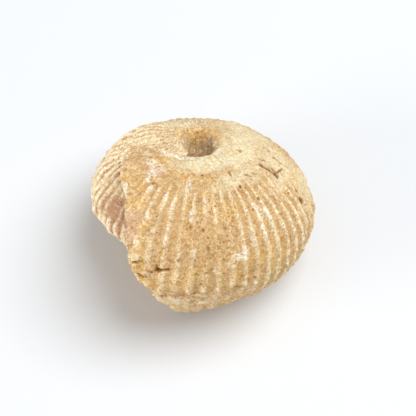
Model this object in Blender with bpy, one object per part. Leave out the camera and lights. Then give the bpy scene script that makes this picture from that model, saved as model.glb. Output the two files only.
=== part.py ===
"""A fossil ammonite, lying on one flank with an umbilicus turned up.

The shell was one coiled tube that filled with sediment, so the fossil is one solid. It starts as a
UV sphere. Each meridian of the sphere becomes one growth line of the shell, and each ring becomes a
line that winds once round the coil, from the broken end of the last whorl back to the whorl that
lies under it. The last few meridians close the step between those two: the broken end itself.

The coil is modelled about its own axis first, with growth clockwise seen from above, and is then
laid down as it rests. Its lowest points are cut level, as they are worn on the real one.
"""
from math import pi, radians

import bmesh
import bpy
import numpy as np
from mathutils import Matrix, Vector

# Size of the coil, in metres, at the reference growth line
VENTER_RADIUS = 0.0360
UPPER_HALF_WIDTH = 0.0186
LOWER_HALF_WIDTH = 0.0252
REFERENCE_AZIMUTH = radians(240)

# Loss of size for each radian back along the coil. The upper side sinks only on its older half.
RADIUS_LOSS = 0.052
UPPER_WIDTH_LOSS = -0.017
LOWER_WIDTH_LOSS = 0.165
OLD_SINK = 0.15
OLD_SINK_FROM, OLD_SINK_TO = radians(200), radians(360)

# Section of the whorl, as shares of its radius and half widths
SHOULDER_RADIUS = 0.32
SHOULDER_LOSS = 0.12
HOLE_RADIUS = 0.145
SHOULDER_DROP = 0.08
VENTER_ROUNDNESS = 1.60
UPPER_ROUNDNESS = 2.42
UPPER_ROUNDNESS_LOSS = 0.1015
ROUNDNESS_STEADY_FROM = radians(210)
LOWER_ROUNDNESS = 2.41

# Bowl beside the hole, where its edge drops more: the drop as a share of the half width, and the middle
# and reach of the bowl as azimuths in degrees
BOWL_DROP = 0.22
BOWL_MIDDLE, BOWL_REACH = 125, 115

# Far side of the coil, where the ribs are weathered low: middle and reach as azimuths in degrees
WEATHERED_MIDDLE, WEATHERED_REACH = 95, 80

# The coil is a little bent: one side of it is lifted, between these azimuths in degrees, and its
# far side sags
LIFT_HEIGHT = 0.0018
LIFT_RISE = (118, 152)
LIFT_FALL = (208, 248)
SAG_DEPTH = 0.0005
SAG_MIDDLE, SAG_REACH = 90, 45

# Curves of the wall of an umbilicus, as powers of the way down: of its radius and of its height
WALL_NARROWING, WALL_FALL = 1.5, 0.8

# Floors of the two umbilici, as heights on the coil axis and radii
UPPER_FLOOR_HEIGHT = 0.0062
UPPER_FLOOR_RADIUS = 0.0026
LOWER_FLOOR_HEIGHT = -0.0085
LOWER_FLOOR_RADIUS = 0.0026

# Ribs, lower on the older part of the coil
RIBS = 59
RIB_CREST_AZIMUTH = radians(247)
RIB_HEIGHT = 0.00064
RIB_HEIGHT_LOSS = 0.07
RIB_SHARPNESS = 1.5
RIB_WEATHERING = 0.6
WORN_END = (radians(5), radians(24))

# Broken end of the last whorl: latitude on the section and azimuth, both in degrees
BREAK_LINE = ((90, 204), (75, 197), (62, 210), (50, 225), (43, 233), (26, 240), (12, 243), (4, 245),
              (0, 246.5), (-5, 249.5), (-8, 254.5), (-15, 256.5), (-21, 260), (-34, 265), (-90, 262))
BREAK_SEAM_AZIMUTH = 241
BREAK_ROUGHNESS = 0.0009
FULL_STEP = 0.006

# Pits and cracks: azimuth and latitude in degrees, then length, width and depth in metres,
# and the turn of the length away from the growth line in degrees
PITS = (("long gouge", 338.5, 58, 0.0066, 0.0021, 0.0013, 8),
        ("shoulder pit", 365.5, 59, 0.0030, 0.0018, 0.0009, 30),
        ("far pit", 359, 48, 0.0030, 0.0015, 0.0009, 20),
        ("upper flank pit", 344, 35, 0.0022, 0.0016, 0.0010, 0),
        ("flank pit", 341.5, 25, 0.0030, 0.0019, 0.0013, 10),
        ("end notch", 250.5, 7, 0.0036, 0.0013, 0.0012, 75),
        ("rib crack", 259.5, 4, 0.0040, 0.0009, 0.0010, 90))

# Grid of the surface: its rows are steps along the section, from the shoulder of the upper side to
# the shoulder of the lower one, with a few more inside each umbilicus
COLUMNS_PER_RIB = 3
BREAK_COLUMNS = 4
FLANK_STEPS = 16
UPPER_FUNNEL_STEPS = (0.26, 0.50, 0.72, 0.92)
LOWER_FUNNEL_STEPS = (0.30, 0.52, 0.90)

# The rows slide outward on the oldest part of the coil, to lie under the rows of the broken end
SLIDE_STEPS = 2.1
SLIDE_FROM = radians(230)

# How the coil lies
LEAN_BACK = radians(21.2)
LEAN_RIGHT = radians(3.45)
COIL_TURN = radians(-2.4)
COIL_CENTRE = (-0.00254, 0.00302, 0.01822)

# Distance below which points are joined, and a small step along the section
GATHERED = 1e-6
NUDGE = 0.05

STONE_COLOUR = (0.74, 0.53, 0.29, 1.0)


def smooth_step(values):
    clipped = np.clip(values, 0, 1)
    return clipped * clipped * (3 - 2 * clipped)


def shell_radius(grown):
    """Distance from the coil axis to the venter, for an angle back from the reference line."""
    return VENTER_RADIUS * np.exp(-RADIUS_LOSS * grown)


def upper_half_width(grown):
    sink = OLD_SINK * smooth_step((grown - OLD_SINK_FROM) / (OLD_SINK_TO - OLD_SINK_FROM))
    return UPPER_HALF_WIDTH * np.exp(-UPPER_WIDTH_LOSS * grown) * (1 - sink)


def lower_half_width(grown):
    return LOWER_HALF_WIDTH * np.exp(-LOWER_WIDTH_LOSS * grown)


def swell(azimuth, middle, reach):
    """1 at the middle azimuth, falling smoothly to 0 beyond the reach. Both are in degrees."""
    away = np.clip((np.degrees(azimuth) % 360 - middle) / reach, -1, 1)
    return 0.5 + 0.5 * np.cos(pi * away)


def lift(azimuth):
    """Height by which the coil is bent up or down at an azimuth."""
    turn = np.degrees(azimuth) % 360
    rise = smooth_step((turn - LIFT_RISE[0]) / (LIFT_RISE[1] - LIFT_RISE[0]))
    fall = smooth_step((turn - LIFT_FALL[0]) / (LIFT_FALL[1] - LIFT_FALL[0]))
    return LIFT_HEIGHT * rise * (1 - fall) - SAG_DEPTH * swell(azimuth, SAG_MIDDLE, SAG_REACH)


def shoulder_share(grown):
    return SHOULDER_RADIUS * np.exp(-SHOULDER_LOSS * grown)


def flank_section(latitude, grown):
    """Radius and height of the outer section, from 90 degrees at the top to -90 below."""
    shoulder = shoulder_share(grown)
    outward = np.abs(np.cos(latitude)) ** (2 / VENTER_ROUNDNESS)
    radius = shell_radius(grown) * (shoulder + (1 - shoulder) * outward)
    upper = UPPER_ROUNDNESS * np.exp(-UPPER_ROUNDNESS_LOSS * np.minimum(grown, ROUNDNESS_STEADY_FROM))
    above = upper_half_width(grown) * np.abs(np.sin(latitude)) ** (2 / upper)
    below = -lower_half_width(grown) * np.abs(np.sin(latitude)) ** (2 / LOWER_ROUNDNESS)
    return radius, np.where(latitude >= 0, above, below)


def funnel_section(inward, azimuths, half_width, floor_height, floor_radius):
    """Radius and height inside an umbilicus: a rounded shoulder, a steep wall, then the floor."""
    grown = azimuths - REFERENCE_AZIMUTH
    turn = np.clip(1 - 2 * inward, 0, 1) * pi / 2
    share = HOLE_RADIUS + (shoulder_share(grown) - HOLE_RADIUS) * (1 - np.cos(turn))
    radius = shell_radius(grown) * share
    drop = SHOULDER_DROP + BOWL_DROP * swell(azimuths, BOWL_MIDDLE, BOWL_REACH)
    height = half_width * (1 - drop * (1 - np.sin(turn)))
    down = np.clip(2 * inward - 1, 0, 1)
    radius = radius + (floor_radius - radius) * down ** WALL_NARROWING
    return radius, height + (floor_height - height) * down ** WALL_FALL


def section(steps, azimuths):
    """Radius, height and latitude for steps along the section, at the azimuths of growth lines."""
    grown = azimuths - REFERENCE_AZIMUTH
    latitude = pi / 2 - pi * np.clip(steps / FLANK_STEPS, 0, 1)
    radius, height = flank_section(latitude, grown)
    for beyond, inward_steps, half_width, floor in (
            (-steps, UPPER_FUNNEL_STEPS, upper_half_width(grown), (UPPER_FLOOR_HEIGHT, UPPER_FLOOR_RADIUS)),
            (steps - FLANK_STEPS, LOWER_FUNNEL_STEPS, -lower_half_width(grown),
             (LOWER_FLOOR_HEIGHT, LOWER_FLOOR_RADIUS))):
        inward = np.interp(beyond, np.arange(len(inward_steps) + 1), (0,) + inward_steps)
        inner_radius, inner_height = funnel_section(inward, azimuths, half_width, *floor)
        radius = np.where(beyond > 0, inner_radius, radius)
        height = np.where(beyond > 0, inner_height, height) - lift(azimuths) * np.clip(2 * inward - 1, 0, 1)
    return radius, height + lift(azimuths), latitude


def row_steps():
    return np.arange(-len(UPPER_FUNNEL_STEPS), FLANK_STEPS + len(LOWER_FUNNEL_STEPS) + 1)


def break_azimuths(steps):
    """Azimuth at which the last whorl is broken off, for each row."""
    line = np.array(BREAK_LINE[::-1], dtype=float)
    azimuths = np.interp(90 - 180 * steps / FLANK_STEPS, line[:, 0], line[:, 1])
    return np.radians(np.where(steps < 0, BREAK_SEAM_AZIMUTH, azimuths))


def column_azimuths(breaks):
    """Azimuths of the growth lines of each row. Those past the broken end gather on its edge."""
    spacing = 2 * pi / (RIBS * COLUMNS_PER_RIB)
    first = np.floor((breaks.min() - RIB_CREST_AZIMUTH) / spacing)
    last = np.ceil((breaks.max() + 2 * pi - RIB_CREST_AZIMUTH) / spacing)
    azimuths = RIB_CREST_AZIMUTH + spacing * np.arange(first, last + 1)
    starts, ends = breaks[:, None], breaks[:, None] + 2 * pi
    azimuths = np.where(azimuths < starts + spacing / 3, starts, azimuths[None, :])
    return np.where(azimuths > ends - spacing / 3, ends, azimuths)


def slide(steps, from_break):
    """How far the rows slide toward the venter on the oldest part of the coil."""
    middle = FLANK_STEPS / 2
    from_venter = np.abs(steps - middle) / middle
    outer = smooth_step((from_venter - 0.3) / 0.6)
    inner = smooth_step((1.5 - from_venter) / 0.4)
    oldest = smooth_step((from_break - SLIDE_FROM) / (2 * pi - SLIDE_FROM))
    return np.sign(middle - steps) * SLIDE_STEPS * outer * inner * oldest


def rib_height(azimuth, latitude, from_break):
    """Height of the ribs: strongest on the venter, gone on the shoulders and at the worn end."""
    crest = (0.5 + 0.5 * np.cos((azimuth - RIB_CREST_AZIMUTH) * RIBS)) ** RIB_SHARPNESS
    on_flank = smooth_step((np.cos(latitude) - 0.15) / 0.5)
    worn_end = smooth_step((from_break - WORN_END[0]) / (WORN_END[1] - WORN_END[0]))
    size = RIB_HEIGHT * np.exp(-RIB_HEIGHT_LOSS * (azimuth - REFERENCE_AZIMUTH))
    size = size * (1 - RIB_WEATHERING * swell(azimuth, WEATHERED_MIDDLE, WEATHERED_REACH))
    return size * crest * on_flank * worn_end


def coil_grid():
    """Points of the coil about its own axis, as rows by growth lines by three."""
    rows = row_steps()[:, None]
    breaks = break_azimuths(rows[:, 0])
    azimuths = column_azimuths(breaks)
    from_break = azimuths - breaks[:, None]
    steps = rows + slide(rows, from_break)
    radius, height, latitude = section(steps, azimuths)
    points = np.stack((radius * np.cos(azimuths), radius * np.sin(azimuths), height), axis=-1)
    next_radius, next_height, _ = section(steps + NUDGE, azimuths)
    last_radius, last_height, _ = section(steps - NUDGE, azimuths)
    outward, upward = last_height - next_height, next_radius - last_radius
    slope = np.hypot(outward, upward)
    out = np.stack((np.cos(azimuths) * outward, np.sin(azimuths) * outward, upward), axis=-1)
    points = points + out * (rib_height(azimuths, latitude, from_break) / slope)[..., None]
    return np.concatenate((points, break_wall(points, breaks)), axis=1)


def break_wall(points, breaks):
    """The extra growth lines that step up from the older whorl to the broken end of the last."""
    old, new = points[:, -1], points[:, 0]
    forward = np.stack((np.sin(breaks), -np.cos(breaks), np.zeros_like(breaks)), axis=-1)
    rise = np.linalg.norm(new - old, axis=-1, keepdims=True)
    row_numbers = np.arange(len(points))[:, None]
    columns = []
    for number in range(1, BREAK_COLUMNS):
        share = number / BREAK_COLUMNS
        lumps = np.sin(row_numbers * 2.3 + number * 1.9) + 0.6 * np.sin(row_numbers * 1.1 + number)
        bulge = BREAK_ROUGHNESS * lumps * np.clip(rise / FULL_STEP, 0, 1)
        columns.append(old + (new - old) * share + forward * bulge)
    return np.stack(columns, axis=1)


def resting_turn():
    turn = Matrix.Rotation(-LEAN_BACK, 3, 'X') @ Matrix.Rotation(LEAN_RIGHT, 3, 'Y')
    return turn @ Matrix.Rotation(COIL_TURN, 3, 'Z')


def lay_down(points):
    """Turn the coil as it rests and move it to its place."""
    return points @ np.array(resting_turn()).T + np.array(COIL_CENTRE)


def flank_point(azimuth, latitude):
    """A point of the last whorl's flank about the coil axis."""
    radius, height, _ = section(FLANK_STEPS * (0.5 - latitude / pi), azimuth)
    return Vector((radius * np.cos(azimuth), radius * np.sin(azimuth), height))


def make_shell(name, collection, material):
    """Shape a UV sphere into the coil and cut its lowest points level."""
    grid = lay_down(coil_grid())
    row_count, column_count = grid.shape[:2]
    mesh_data = bmesh.new()
    bmesh.ops.create_uvsphere(mesh_data, u_segments=column_count, v_segments=row_count + 1, radius=1)
    poles = lay_down(np.array(((0, 0, UPPER_FLOOR_HEIGHT), (0, 0, LOWER_FLOOR_HEIGHT))))
    for vertex in mesh_data.verts:
        x, y, z = vertex.co
        ring = round((pi / 2 - np.arcsin(np.clip(z, -1, 1))) / pi * (row_count + 1))
        column = round(np.arctan2(y, x) / (2 * pi) * column_count) % column_count
        if ring == 0 or ring > row_count:
            vertex.co = poles[0 if ring == 0 else 1]
        else:
            vertex.co = grid[ring - 1, column]
    bmesh.ops.remove_doubles(mesh_data, verts=mesh_data.verts[:], dist=GATHERED)
    bmesh.ops.bisect_plane(mesh_data, geom=mesh_data.verts[:] + mesh_data.edges[:] + mesh_data.faces[:],
                           dist=1e-7, plane_co=(0, 0, 0), plane_no=(0, 0, -1), clear_outer=True)
    bmesh.ops.holes_fill(mesh_data, edges=mesh_data.edges[:], sides=0)
    bmesh.ops.recalc_face_normals(mesh_data, faces=mesh_data.faces[:])
    mesh = bpy.data.meshes.new(name)
    mesh_data.to_mesh(mesh)
    mesh_data.free()
    shell = bpy.data.objects.new(name, mesh)
    collection.objects.link(shell)
    mesh.materials.append(material)
    mesh.shade_smooth()
    mesh.set_sharp_from_angle(angle=radians(50))
    return shell


def make_pit_cutter(name, azimuth, latitude, length, width, depth, turn, collection):
    """A flattened ball sunk into the flank to its middle. Its length runs along the growth line."""
    azimuth, latitude, nudge = radians(azimuth), radians(latitude), radians(1)
    centre = flank_point(azimuth, latitude)
    upward = (flank_point(azimuth, latitude + nudge) - flank_point(azimuth, latitude - nudge)).normalized()
    sideways = flank_point(azimuth + nudge, latitude) - flank_point(azimuth - nudge, latitude)
    outward = sideways.cross(upward).normalized()
    axes = Matrix((upward, outward.cross(upward), outward)).transposed()
    axes = resting_turn() @ axes @ Matrix.Rotation(radians(turn), 3, 'Z')
    ball = bmesh.new()
    bmesh.ops.create_icosphere(ball, subdivisions=2, radius=1)
    bmesh.ops.scale(ball, vec=(length / 2, width / 2, depth), verts=ball.verts)
    mesh = bpy.data.meshes.new(name)
    ball.to_mesh(mesh)
    ball.free()
    cutter = bpy.data.objects.new(name, mesh)
    place = Matrix.Translation(resting_turn() @ centre + Vector(COIL_CENTRE))
    cutter.matrix_world = place @ axes.to_4x4()
    cutter.hide_render = True
    cutter.display_type = 'WIRE'
    collection.objects.link(cutter)
    return cutter


def cut(piece, cutter):
    modifier = piece.modifiers.new(cutter.name, 'BOOLEAN')
    modifier.operation = 'DIFFERENCE'
    modifier.solver = 'EXACT'
    modifier.object = cutter


def stone_material():
    material = bpy.data.materials.new("weathered limestone")
    material.use_nodes = True
    shader = material.node_tree.nodes["Principled BSDF"]
    shader.inputs["Base Color"].default_value = STONE_COLOUR
    shader.inputs["Roughness"].default_value = 0.85
    shader.inputs["Metallic"].default_value = 0.0
    return material


def new_collection(name):
    collection = bpy.data.collections.new(name)
    bpy.context.scene.collection.children.link(collection)
    return collection


def main():
    for item in list(bpy.data.objects):
        bpy.data.objects.remove(item)
    parts = new_collection("ammonite fossil")
    cutters = new_collection("pit cutters")
    shell = make_shell("ammonite", parts, stone_material())
    for pit in PITS:
        cut(shell, make_pit_cutter(*pit, cutters))


main()
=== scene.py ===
"""A fossil ammonite in weathered limestone, lying on one flank with an umbilicus turned up.

The shell was one coiled tube that filled with sediment, so the fossil is one solid piece. Its
surface is a grid: rows run along the coil, from the broken end of the last whorl back to the whorl
under it, and columns are growth lines. The fine relief of the stone is raised on that surface:
ribs, wear, pits, cracks and pores. The masks that colour the stone are worked out on the same grid.

The coil is shaped about its own axis first, with growth clockwise seen from above, and is then laid
down as it rests. Azimuths grow toward the older shell.
"""
from math import cos, pi, radians, sin

import bmesh
import bpy
import numpy as np
from bpy.props import FloatProperty, FloatVectorProperty, IntProperty, PointerProperty
from bpy.types import Operator, Panel, PropertyGroup
from mathutils import Matrix, Vector


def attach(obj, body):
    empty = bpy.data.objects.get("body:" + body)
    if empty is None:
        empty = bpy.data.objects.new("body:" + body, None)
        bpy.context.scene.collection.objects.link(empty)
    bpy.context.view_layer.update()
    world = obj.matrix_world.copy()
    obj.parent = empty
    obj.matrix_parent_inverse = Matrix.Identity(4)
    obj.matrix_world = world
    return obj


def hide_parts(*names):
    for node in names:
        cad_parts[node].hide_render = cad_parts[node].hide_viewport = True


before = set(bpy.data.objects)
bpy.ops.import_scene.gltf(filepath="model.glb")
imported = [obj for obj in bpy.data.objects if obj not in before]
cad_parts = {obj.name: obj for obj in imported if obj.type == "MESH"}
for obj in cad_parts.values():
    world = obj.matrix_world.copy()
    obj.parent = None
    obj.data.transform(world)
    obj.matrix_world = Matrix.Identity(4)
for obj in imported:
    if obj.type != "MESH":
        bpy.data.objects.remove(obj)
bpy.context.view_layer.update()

bl_info = {
    "name": "Ammonite fossil",
    "version": (1, 0, 0),
    "blender": (4, 5, 0),
    "location": "View3D > Sidebar > Ammonite",
    "description": "Makes an ammonite fossil in weathered limestone and a plain stage for it",
    "category": "Add Mesh",
}

# The coil: where it lies, and shares of the section that are not for a user to change
REFERENCE_AZIMUTH = radians(240)
OLD_SINK = 0.15
OLD_SINK_FROM, OLD_SINK_TO = radians(200), radians(360)
SHOULDER_RADIUS, SHOULDER_LOSS = 0.32, 0.12
HOLE_RADIUS = 0.145
SHOULDER_DROP = 0.08
BOWL_DROP, BOWL_MIDDLE, BOWL_REACH = 0.22, 125, 115
VENTER_ROUNDNESS = 1.60
UPPER_ROUNDNESS, UPPER_ROUNDNESS_LOSS = 2.42, 0.1015
ROUNDNESS_STEADY_FROM = radians(210)
LOWER_ROUNDNESS = 2.41
LIFT_HEIGHT = 0.0018
LIFT_RISE, LIFT_FALL = (118, 152), (208, 248)
SAG_DEPTH = 0.0005
SAG_MIDDLE, SAG_REACH = 90, 45
UPPER_FLOOR = (0.0062, 0.0026)
LOWER_FLOOR = (-0.0085, 0.0026)
UPPER_FUNNEL_STEPS = (0.26, 0.50, 0.72, 0.92)
LOWER_FUNNEL_STEPS = (0.30, 0.52, 0.90)
FLANK_STEPS = 16
SLIDE_STEPS, SLIDE_FROM = 2.1, radians(230)
LEAN_BACK, LEAN_RIGHT, COIL_TURN = radians(21.2), radians(3.45), radians(-2.4)
COIL_CENTRE = (-0.00254, 0.00302, 0.01822)

# Broken end of the last whorl: latitude on the section and azimuth, both in degrees
BREAK_LINE = (
    (90, 204), (75, 197), (62, 210), (50, 225), (43, 233), (26, 240), (12, 243), (4, 245),
    (0, 246.5), (-5, 249.5), (-8, 254.5), (-15, 256.5), (-21, 260), (-34, 265), (-90, 262))
BREAK_SEAM_AZIMUTH = 241
RAGGEDNESS = 1.4

# The older stretch, in degrees back from the broken end. It has broad ribs and narrow grooves.
OLDER_FROM, OLDER_TO = 215, 295
CREST_POWER, OLDER_CREST_POWER = 1.8, 0.7
GROOVE_POWER, OLDER_GROOVE_POWER = 2, 4
RIB_LOSS = 0.07

# Worn stone of the last whorl, in degrees: width of the stretch beside the broken end, low and high
# on the flank, and the latitudes between which it widens. Then the worn band near the floor: the
# latitude of its top and the azimuth where it ends.
WORN_END_WIDTH = (2, 22)
WORN_END_RISE = (4, 26)
LOW_BAND_TOP, LOW_BAND_END = -8.5, 312

# Small relief, in metres: depth of the pores, of the grain of worn stone and at which a hollow's
# painted shade is full, how far the cracks wander, and the width of the white crust and painted
# highlight along the broken edge
PORE_DEPTH = 0.00022
WORN_GRAIN = 0.00025
FULL_SHADE_DEPTH = 0.0005
CRACK_WANDER = 0.0004
EDGE_WIDTH = 0.0007

# Noise of the relief: size of its swells in metres, then its seed
BROAD_NOISE, MIDDLING_NOISE, FINE_NOISE = (0.011, 11), (0.0042, 12), (0.0016, 13)
PORE_NOISE, WORN_NOISE = (0.0013, 21), (0.0022, 31)
BREAK_NOISE, FINE_BREAK_NOISE = (0.0065, 41), (0.0019, 42)
WANDER_SIZE, WANDER_SEEDS = 0.0019, (51, 52, 53)

# Grid of the surface
COLUMNS_PER_RIB = 8
ROWS = 204
BREAK_COLUMNS = 16
ROW_SPACING_AZIMUTH = radians(290)
UNDERSIDE_FROM_STEP, UNDERSIDE_SHARE = 11.5, 0.55

# Lengths on the stone, in metres: of a radian of latitude, for the marks, and of a step along the
# section, for the streaks. In the umbilicus, streaks are as wide as they are at the least radius.
LATITUDE_LENGTH = 0.034
STEP_LENGTH, LEAST_STREAK_RADIUS = 0.0045, 0.012

# Pits: azimuth and latitude in degrees, then length, width and depth in millimetres, and the turn
# of the length away from the growth line in degrees
PITS = (
    (370.2, 60.3, 0.9, 1.1, 0.7, 0), (367.5, 56.5, 0.8, 0.9, 0.6, 0),
    (371.8, 49.3, 0.7, 0.7, 0.5, 0), (306.8, 59.2, 0.8, 0.9, 0.7, 0),
    (309.2, 56.2, 0.7, 0.8, 0.6, 0), (314, 47.2, 0.7, 0.7, 0.6, 0), (277.5, 75.6, 0.7, 0.7, 0.5, 0),
    (346, 33.3, 1.6, 1.3, 1.3, 0), (343.2, 25.9, 1.7, 1.3, 1.4, 0), (350, 26.3, 0.7, 0.7, 0.4, 0),
    (342.5, 50.6, 1.5, 1.1, 1.3, 30), (341, 61.6, 1.1, 0.9, 0.7, 0), (276, 42, 0.8, 0.6, 0.4, 0),
    (273.5, 39.5, 0.7, 0.6, 0.3, 0), (270, 36.5, 0.9, 0.6, 0.4, 30),
    (276.5, 34.5, 0.9, 0.6, 0.4, 0), (279, 21.4, 0.9, 0.6, 0.4, 40), (281, 16, 0.8, 0.6, 0.3, 0),
    (278, 4, 1.2, 0.7, 0.5, 60), (290, 27, 0.7, 0.6, 0.3, 0), (262, 55, 0.8, 0.6, 0.3, 0),
    (240, 62, 1.1, 0.9, 0.4, 30), (347, 78, 1.4, 0.8, 0.5, 75), (296, 47, 0.8, 0.7, 0.4, 0),
    (284, 50, 0.8, 0.8, 0.4, 0), (322, 20, 0.9, 0.7, 0.4, 0), (266, 12, 0.9, 0.9, 0.5, 0))

# Cracks and gouges: lines of azimuth and latitude in degrees, then width and depth in millimetres
CRACKS = (
    (((247.2, 4.7), (249.5, 5.2), (251.2, 5.6)), 0.6, 0.9),
    (((251.2, 5.6), (252.8, 9.4)), 0.5, 0.5), (((257.3, 2.7), (259.0, 3.1)), 0.9, 1.0),
    (((259.0, 3.1), (262.5, 4.3)), 0.55, 0.7), (((257.3, 6.2), (257.5, 2.7)), 0.5, 0.5),
    (((249.3, -1.4), (251.5, -1.6), (255.8, -0.7)), 0.5, 0.5),
    (((253.0, 3.4), (254.2, 0.9), (254.5, -0.7)), 0.5, 0.4),
    (((248.8, 1.1), (251.5, 1.1)), 0.5, 0.4),
    (((342.5, 63.0), (340.2, 60.5), (341.0, 57.6), (341.5, 54.7), (341.2, 52.4)), 0.7, 0.8),
    (((347.5, 56.0), (344.5, 52.9), (342.8, 51.1)), 0.55, 0.5),
    (((343.5, 50.6), (350.0, 48.8), (354.0, 47.0)), 0.6, 0.5),
    (((361.8, 53.5), (360.5, 49.7), (359.5, 46.8), (359.8, 44.3)), 0.55, 0.6),
    (((385.5, 45.9), (383.2, 43.6)), 0.5, 0.4), (((350.8, 64.1), (351.8, 59.8)), 0.6, 0.4),
    (((305.2, 71.8), (307.2, 68.8)), 0.6, 0.4), (((319.2, 64.6), (321.2, 62.5)), 0.6, 0.4),
    (((327.2, 62.8), (327.2, 60.3)), 0.6, 0.3), (((303.5, 57.1), (305.0, 55.6)), 0.5, 0.3),
    (((343.5, 23.8), (343.8, 20.9)), 0.5, 0.4), (((348.0, 81.0), (351.0, 79.2)), 0.5, 0.3),
    (((259.5, -13.5), (265.0, -12.4), (271.8, -9.9), (277.0, -9.5)), 0.5, 0.25))

# Lumps between the cracks: azimuth and latitude in degrees, then width and height in millimetres
LUMPS = (
    (248.3, 9.9, 3.2, 0.45), (248.8, 2.0, 2.2, 0.35), (252.8, 1.3, 2.0, 0.35),
    (255.5, 3.6, 1.6, 0.3), (251.8, -4.3, 3.2, 0.4), (254.7, -6.1, 2.4, 0.3),
    (243.5, 15.5, 2.5, 0.3))

# Patches of colour: azimuth and latitude in degrees, width and height in millimetres, strength
PALE_PATCHES = (
    (231, 76, 4.6, 3.4, 0.6), (234.5, 69, 2.0, 6.0, 0.6), (226.5, 49.5, 1.2, 4.6, 0.9),
    (229, 45, 1.4, 3.6, 0.9), (293.5, 13.7, 3.4, 3.2, 0.8), (296, 17.5, 1.4, 3.0, 0.6),
    (309.5, 39.5, 1.4, 6.5, 0.6), (314.5, 35.5, 1.6, 4.6, 0.6), (241, 57, 1.2, 3.0, 0.8),
    (253.5, 55, 1.0, 4.0, 0.6), (266, 63, 1.2, 7.0, 0.5), (282, 5, 0.9, 3.0, 0.6),
    (252, 30, 0.9, 3.4, 0.8), (259, 26, 0.8, 4.0, 0.7), (272.5, 18, 0.8, 3.6, 0.45),
    (288, 8, 0.9, 3.6, 0.5), (308, 25, 1.0, 7.0, 0.5), (246, 20, 0.8, 4.0, 0.7),
    (258, 48, 1.0, 3.6, 0.7), (247, 40, 1.0, 5.0, 0.6), (300, 24, 0.9, 5.0, 0.5),
    (278, -19.5, 2.4, 1.6, 0.7), (289, -17, 1.6, 1.2, 0.5), (266, -17, 1.6, 1.2, 0.5),
    (235, 62, 1.2, 3.0, 0.6), (270, 45, 0.9, 5.0, 0.5), (279, 52, 0.9, 5.0, 0.5),
    (271, -21, 5.0, 1.4, 0.5), (284, -20, 5.0, 1.4, 0.5), (297, -14, 4.0, 1.2, 0.4))
# Painted highlight along the lip, from the top of the broken end round the near rim of the
# umbilicus
LIP_PATCHES = (
    (205, 88, 4.0, 1.4, 0.7), (220, 92.5, 4.0, 1.8, 0.8), (235, 96, 4.0, 2.2, 0.9),
    (255, 99, 6.0, 2.6, 0.9), (285, 100, 6.0, 2.8, 0.9), (312, 99, 5.0, 3.0, 0.7),
    (213, 80, 2.0, 3.0, 0.4))
# White crust and painted glints on the wall of the umbilicus
WALL_PATCHES = (
    (352, 113, 1.0, 10.0, 0.8), (371, 113, 1.0, 11.0, 0.9), (390, 111, 0.9, 8.0, 0.8),
    (405, 108, 0.9, 6.0, 0.7), (490, 110, 1.0, 6.0, 0.7), (505, 111, 1.1, 8.0, 0.9),
    (520, 112, 1.6, 10.0, 1.0), (536, 112, 1.6, 10.0, 1.0), (553, 110, 1.2, 7.0, 0.9),
    (338, 112, 1.0, 7.0, 0.5), (425, 112, 0.9, 7.0, 0.5), (450, 114, 0.9, 7.0, 0.5),
    (470, 113, 0.9, 7.0, 0.5))
# Brown stains; the broad ones on the front of the last whorl, near azimuths 250 to 285, are partly
# painted shade
BROWN_PATCHES = (
    (291, -8, 7.0, 2.6, 1.0), (276, 7, 6.0, 6.0, 0.6), (268, -8.5, 9.0, 1.6, 0.8),
    (340, 57, 3.6, 7.5, 0.6), (323, 61, 7.0, 3.6, 0.5), (344, 30, 3.2, 4.0, 0.5),
    (366, 58, 4.0, 4.0, 0.4), (221, 60, 5.0, 3.5, 0.5), (241, 72, 3.0, 3.0, 0.5),
    (300, 4, 6.0, 8.0, 0.5), (320, 12, 4.0, 7.0, 0.4), (307, 58, 3.5, 3.0, 0.4),
    (284, 32, 8.0, 6.0, 0.4), (390, 78, 5.0, 3.5, 0.5), (405, 80, 4.0, 4.0, 0.4),
    (253, 3, 4.6, 3.6, 0.7), (548, 86, 4.0, 3.0, 0.7), (562, 78, 4.0, 3.0, 0.6),
    (530, 82, 3.0, 2.4, 0.5), (500, 84, 3.0, 2.0, 0.5), (262, 10, 5.0, 7.0, 0.5),
    (232, 60, 3.0, 2.4, 0.5), (281.8, 24, 6.0, 9.0, 0.6), (268, 30, 6.0, 14.0, 0.6),
    (274, 14, 7.0, 7.0, 0.6), (257, 24, 4.0, 12.0, 0.5), (536, 114, 3.0, 2.0, 0.8),
    (261, -13.2, 3.0, 1.1, 0.9), (267, -11.6, 3.4, 1.1, 0.9), (273, -9.9, 4.0, 1.2, 0.9),
    (279, -9.5, 4.0, 1.4, 0.9), (540, 92, 6.0, 4.0, 0.9), (520, 94, 5.0, 4.0, 0.8),
    (575, 88, 4.0, 2.6, 0.8), (560, 92, 4.0, 3.0, 0.8), (500, 95, 5.0, 3.0, 0.6),
    (470, 98, 5.0, 3.0, 0.5), (445, 99, 5.0, 3.0, 0.5), (215, 66, 3.0, 3.0, 0.6),
    (294, 30, 4.0, 9.0, 0.35), (262, 44, 3.0, 8.0, 0.35), (302, 15, 5.0, 8.0, 0.4),
    (254, 14, 3.0, 6.0, 0.4), (253, 34, 4.0, 12.0, 0.6), (262, 20, 5.0, 14.0, 0.6),
    (531, 77, 6.0, 5.0, 0.8), (541, 81, 4.0, 3.0, 0.6), (514, 81, 5.0, 3.0, 0.6),
    (522, 72, 4.0, 3.0, 0.5), (248, 48, 3.0, 8.0, 0.5), (256, 6, 4.0, 5.0, 0.5),
    (286, 10, 6.0, 8.0, 0.4), (266, -13.5, 12.0, 1.6, 0.4), (284, -13, 8.0, 2.0, 0.4))
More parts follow.
